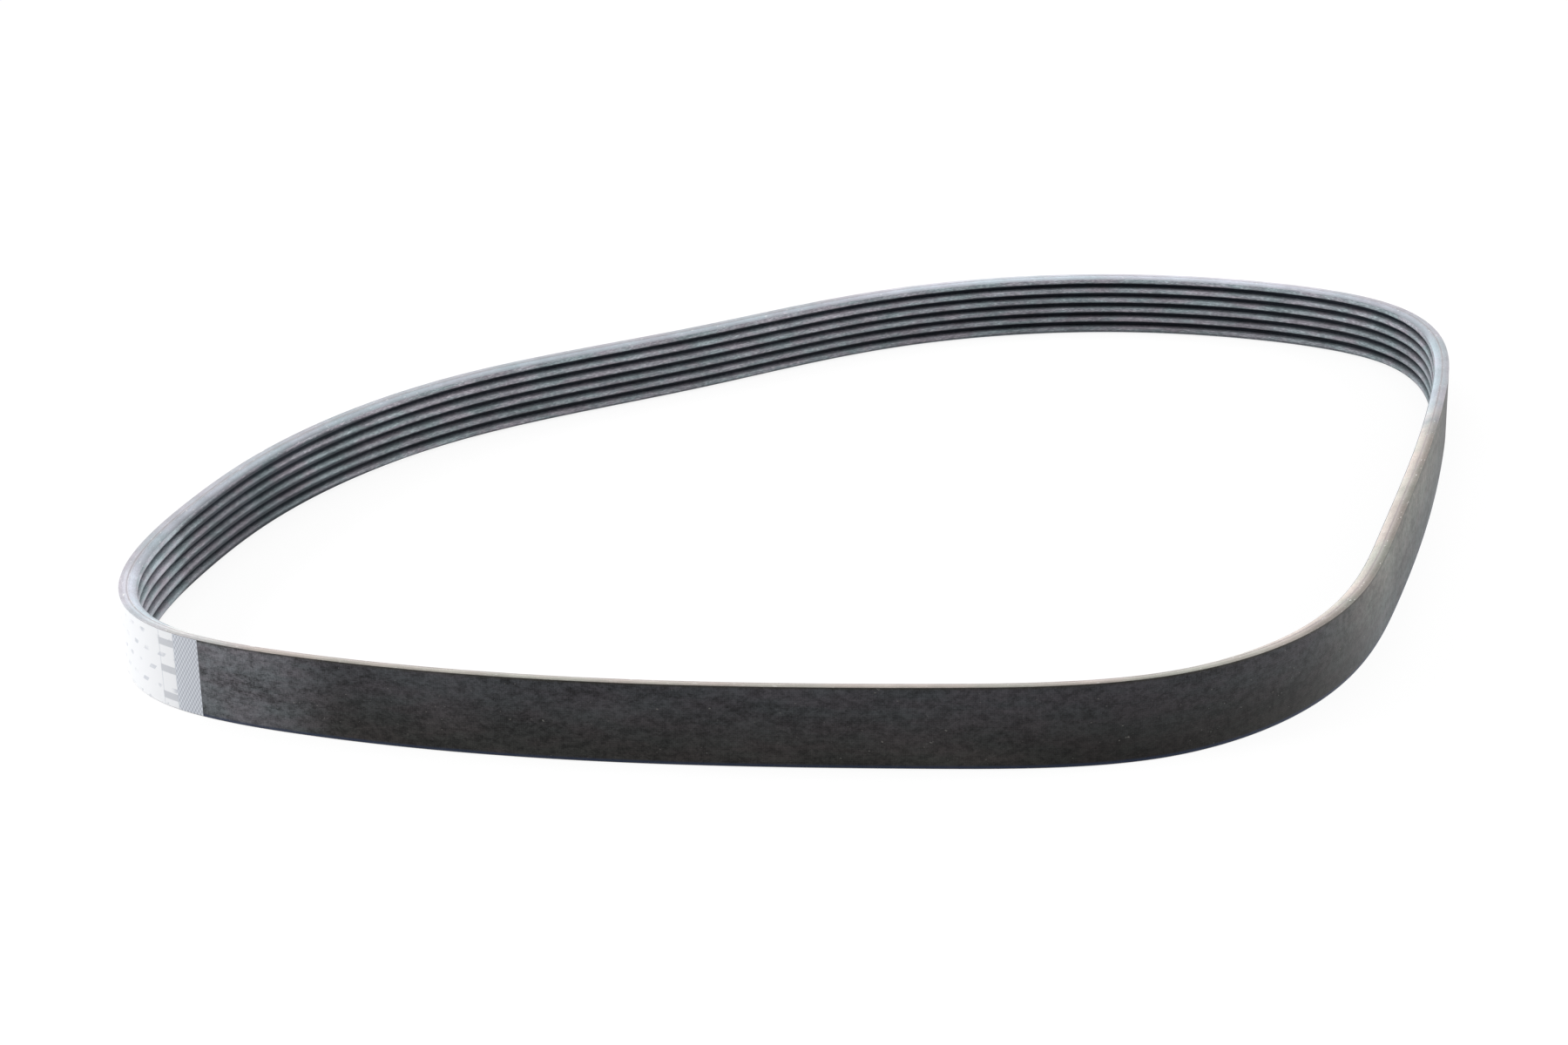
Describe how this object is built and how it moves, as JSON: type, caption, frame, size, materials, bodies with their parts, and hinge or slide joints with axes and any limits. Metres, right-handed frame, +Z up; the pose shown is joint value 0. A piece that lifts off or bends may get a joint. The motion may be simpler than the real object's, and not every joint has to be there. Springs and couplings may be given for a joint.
{
  "type": "serpentine belt",
  "caption": "Endless multi-ribbed drive belt: smooth flat back, V-ribs along the inside of the loop, standing on its cut edge as a loose closed loop.",
  "frame": {"origin": "middle of the loop's box, on the surface that the belt stands on", "axes": "+Z up across the belt's width; +Y along the loop's longer side, away from the strand that carries the start of the printed label; +X to the right seen from that strand"},
  "size_m": [0.4, 0.423, 0.0212],
  "materials": {
    "belt_rubber": "matte, fibre-loaded rubber with a fine woven texture on the back",
    "label_print": "matte pale print on the belt's back"
  },
  "bodies": {
    "root": {"ribbed_belt": "belt_rubber"}
  },
  "joints": []
}
